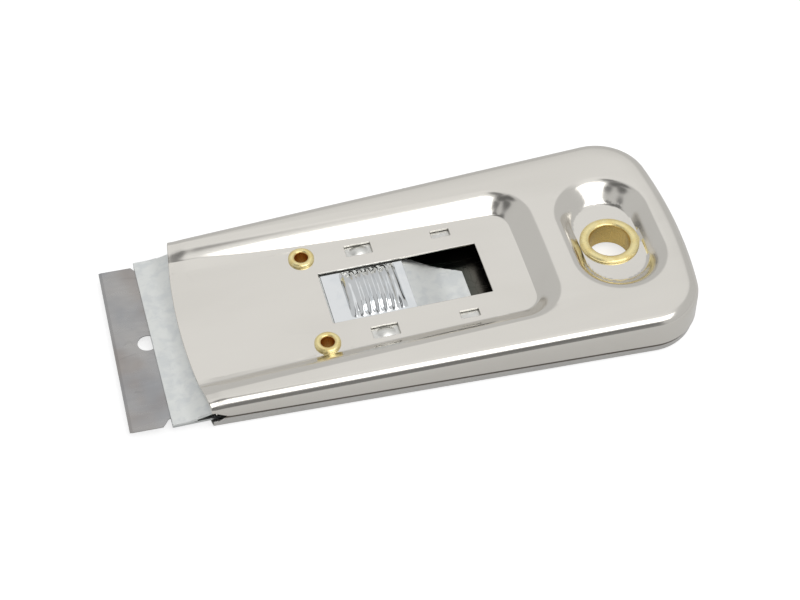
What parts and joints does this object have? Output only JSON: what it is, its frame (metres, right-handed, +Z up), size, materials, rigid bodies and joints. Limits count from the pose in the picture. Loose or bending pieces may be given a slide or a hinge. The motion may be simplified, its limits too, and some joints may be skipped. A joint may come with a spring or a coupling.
{
  "type": "ceramic hob scraper",
  "caption": "Flat pressed-steel hob scraper with a bowed front, a ribbed thumb slide that draws the clamped blade into the shell, and a brass hanging eyelet.",
  "frame": {"origin": "middle of the object's box at the ground it rests on, with the blade out", "axes": "+X from the blade towards the hanging eyelet, +Y across the width, +Z up through the panel"},
  "size_m": [0.1114, 0.0488, 0.0097],
  "materials": {
    "shell_steel": "satin-polished stainless sheet",
    "base_steel": "satin stainless sheet",
    "brass": "lightly brushed brass",
    "galvanised_sheet": "zinc-plated sheet, slightly mottled",
    "bright_steel": "bright plated pressing",
    "spring_steel": "satin spring strip",
    "blade_steel": "dark ground blade steel with tempering tints"
  },
  "bodies": {
    "housing": {"top_shell": "shell_steel", "bottom_shell": "base_steel", "hanging_eyelet": "brass", "left_front_eyelet": "brass", "right_front_eyelet": "brass"},
    "carriage": {"clamp_plate": "galvanised_sheet", "carrier_plate": "galvanised_sheet", "carrier_rivets": "galvanised_sheet", "thumb_grip": "bright_steel", "left_detent_spring": "spring_steel", "right_detent_spring": "spring_steel", "blade": "blade_steel"}
  },
  "joints": [
    {"name": "blade_slide", "type": "slide", "parent": "housing", "child": "carriage", "axis": [0.9999, 0, 0.0131], "range_m": [0, 0.0164], "deforming": ["left_detent_spring", "right_detent_spring"]}
  ]
}
